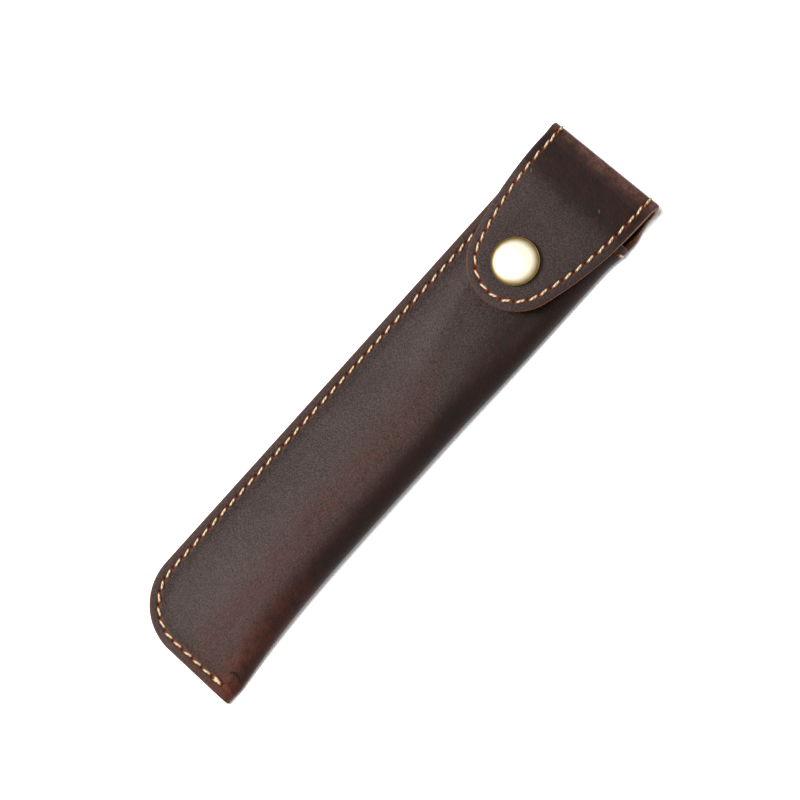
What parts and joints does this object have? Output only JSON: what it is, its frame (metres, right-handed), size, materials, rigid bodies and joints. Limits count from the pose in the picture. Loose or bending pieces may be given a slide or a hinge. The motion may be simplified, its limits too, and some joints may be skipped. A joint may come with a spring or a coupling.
{
  "type": "single pen sleeve",
  "caption": "Slim folded leather sleeve for one pen, stitched down one side and the bottom, closed by a round-tipped flap with a domed press stud.",
  "frame": {"origin": "centre of the bounding box on the plane the back rests on", "axes": "+Y from the bottom edge towards the top bend, +X towards the folded side, +Z out of the front"},
  "size_m": [0.0363, 0.1645, 0.0144],
  "materials": {
    "leather": "satin",
    "thread": "matte",
    "brass": "satin",
    "nickelled": "satin"
  },
  "bodies": {
    "sleeve": {"hide": "leather", "stud": "nickelled", "stud_eyelet": "nickelled", "seam_needle_thread": "thread", "seam_bobbin_thread": "thread", "seam_backstitch": "thread", "mouth_needle_thread": "thread", "mouth_bobbin_thread": "thread", "back_needle_thread": "thread", "back_bobbin_thread": "thread"},
    "bend_1": {"bend_strip_1": "leather", "bend_thread_1": "thread"},
    "bend_2": {"bend_strip_2": "leather", "bend_thread_2": "thread"},
    "bend_3": {"bend_strip_3": "leather", "bend_thread_3": "thread"},
    "bend_4": {"bend_strip_4": "leather", "bend_thread_4": "thread"},
    "bend_5": {"bend_strip_5": "leather", "bend_thread_5": "thread"},
    "flap_body": {"flap": "leather", "cap": "brass", "cap_post": "nickelled", "socket": "nickelled", "socket_spring": "nickelled", "flap_needle_thread": "thread", "flap_bobbin_thread": "thread"}
  },
  "joints": [
    {"name": "bend_foot", "type": "hinge", "parent": "sleeve", "child": "bend_1", "pos_m": [0, 0.0764, 0.0005], "axis": [-1, 0, 0], "range_deg": [0, 18]},
    {"name": "bend_line_1", "type": "hinge", "parent": "bend_1", "child": "bend_2", "pos_m": [0, 0.07978, 0.0016], "axis": [-1, 0, 0], "range_deg": [0, 36]},
    {"name": "bend_line_2", "type": "hinge", "parent": "bend_2", "child": "bend_3", "pos_m": [0, 0.08187, 0.00447], "axis": [-1, 0, 0], "range_deg": [0, 36]},
    {"name": "bend_line_3", "type": "hinge", "parent": "bend_3", "child": "bend_4", "pos_m": [0, 0.08187, 0.00803], "axis": [-1, 0, 0], "range_deg": [0, 36]},
    {"name": "bend_line_4", "type": "hinge", "parent": "bend_4", "child": "bend_5", "pos_m": [0, 0.07978, 0.0109], "axis": [-1, 0, 0], "range_deg": [0, 36]},
    {"name": "flap_root", "type": "hinge", "parent": "bend_5", "child": "flap_body", "pos_m": [0, 0.0764, 0.012], "axis": [-1, 0, 0], "range_deg": [0, 18]}
  ],
  "couplings": [
    {"joint": "bend_line_1", "follows": "bend_foot", "ratio": 2},
    {"joint": "bend_line_2", "follows": "bend_foot", "ratio": 2},
    {"joint": "bend_line_3", "follows": "bend_foot", "ratio": 2},
    {"joint": "bend_line_4", "follows": "bend_foot", "ratio": 2},
    {"joint": "flap_root", "follows": "bend_foot", "ratio": 1}
  ]
}
